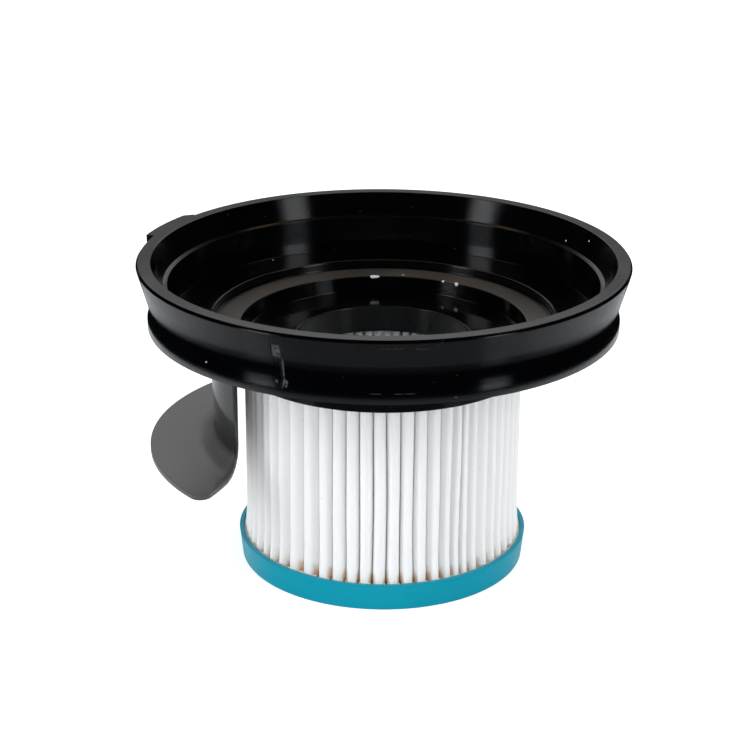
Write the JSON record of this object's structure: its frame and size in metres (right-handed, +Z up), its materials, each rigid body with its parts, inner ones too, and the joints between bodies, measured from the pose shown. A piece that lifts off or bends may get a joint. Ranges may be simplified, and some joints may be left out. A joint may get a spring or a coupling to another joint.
{
  "type": "vacuum cleaner filter",
  "caption": "Used cyclone vacuum filter: black moulded dish with a stepped bowl, flange, air hole and side vane above a white pleated paper cylinder in a closed teal end cap.",
  "frame": {"origin": "centre of the end cap's underside, on the filter's axis", "axes": "+Z up along the filter's axis towards the dish, -Y towards the camera of the picture, -X towards the vane"},
  "size_m": [0.1312, 0.1312, 0.0849],
  "materials": {
    "holder_plastic": "gloss",
    "filter_paper": "matte",
    "cap_plastic": "satin",
    "adhesive": "satin"
  },
  "bodies": {
    "root": {"filter_holder": "holder_plastic", "pleated_media": "filter_paper", "end_cap": "cap_plastic", "lower_adhesive": "adhesive", "upper_adhesive": "adhesive"}
  },
  "joints": []
}
